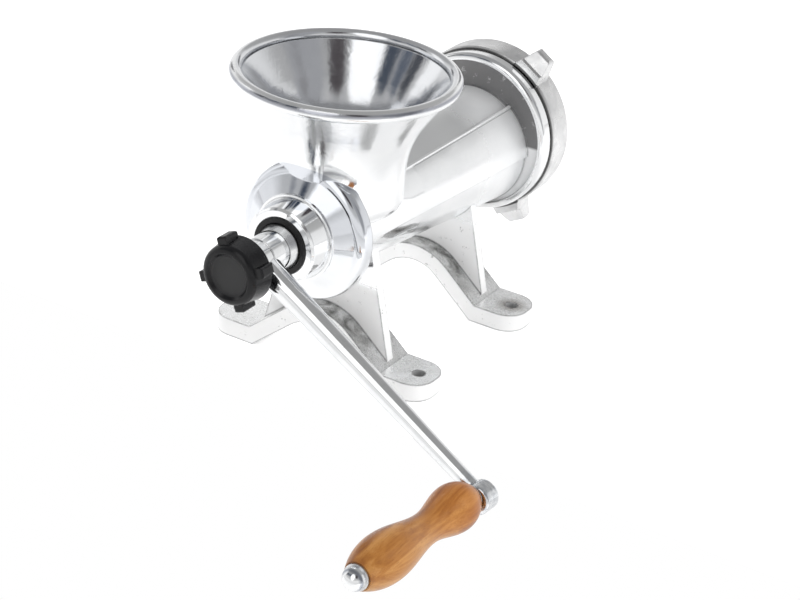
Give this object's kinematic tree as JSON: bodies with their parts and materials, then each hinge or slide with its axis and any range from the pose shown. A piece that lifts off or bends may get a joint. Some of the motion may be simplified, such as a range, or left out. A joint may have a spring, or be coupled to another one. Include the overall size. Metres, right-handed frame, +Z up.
{
  "type": "hand crank meat grinder",
  "caption": "Bench-mounted hand crank meat grinder: flared hopper over a tapered barrel, arched legs, feed screw, knife, hole plate, lugged ring nut and a wooden-grip crank.",
  "frame": {"origin": "middle of the four bolt holes, on the plane under the feet", "axes": "+Y along the barrel from the crank to the outlet, +Z up, +X right seen from the crank"},
  "size_m": [0.2856, 0.4687, 0.2153],
  "materials": {
    "polished_casting": "polished cast aluminium",
    "cast_ring": "satin cast aluminium",
    "black_bush": "black nylon",
    "screw_steel": "turned and tinned",
    "tool_steel": "ground",
    "plain_steel": "zinc plated",
    "plated_steel": "bright plated",
    "black_knob": "moulded, half gloss",
    "varnished_wood": "varnished beech"
  },
  "bodies": {
    "body": {"body_casting": "polished_casting", "hub_bush": "black_bush", "thrust_washer": "plain_steel", "plate_key": "plain_steel"},
    "screw": {"feed_screw": "screw_steel", "drive_stud": "plain_steel", "cross_knife": "tool_steel", "crank_arm": "plated_steel", "grip_spindle": "plain_steel", "grip_inner_washer": "plain_steel", "grip_end_washer": "plain_steel", "grip_end_nut": "plated_steel"},
    "grip": {"wood_grip": "varnished_wood"},
    "plate": {"hole_plate": "tool_steel"},
    "ring": {"ring_nut": "cast_ring"},
    "washer": {"crank_washer": "plain_steel"},
    "knob": {"clamp_knob": "black_knob", "knob_stud": "plain_steel"}
  },
  "joints": [
    {"name": "crank_turn", "type": "hinge", "parent": "body", "child": "screw", "pos_m": [0, 0, 0.111], "axis": [0, 1, 0], "continuous": true},
    {"name": "grip_spin", "type": "hinge", "parent": "screw", "child": "grip", "pos_m": [0.18366, -0.17714, 0.01701], "axis": [-0.0497, -0.9984, 0.0254], "continuous": true},
    {"name": "plate_release", "type": "slide", "parent": "body", "child": "plate", "axis": [0, 1, 0], "range_m": [0, 0.02]},
    {"name": "ring_turn", "type": "hinge", "parent": "plate", "child": "ring", "pos_m": [0, 0, 0.111], "axis": [0, 1, 0], "range_deg": [0, 1800]},
    {"name": "washer_release", "type": "slide", "parent": "screw", "child": "washer", "axis": [0, -1, 0], "range_m": [0, 0.012]},
    {"name": "knob_turn", "type": "hinge", "parent": "washer", "child": "knob", "pos_m": [0, 0, 0.111], "axis": [0, -1, 0], "range_deg": [0, 2880]}
  ],
  "couplings": [
    {"joint": "plate_release", "follows": "ring_turn", "m_per_rad": 0.00063662},
    {"joint": "washer_release", "follows": "knob_turn", "m_per_rad": 0.00023873}
  ]
}
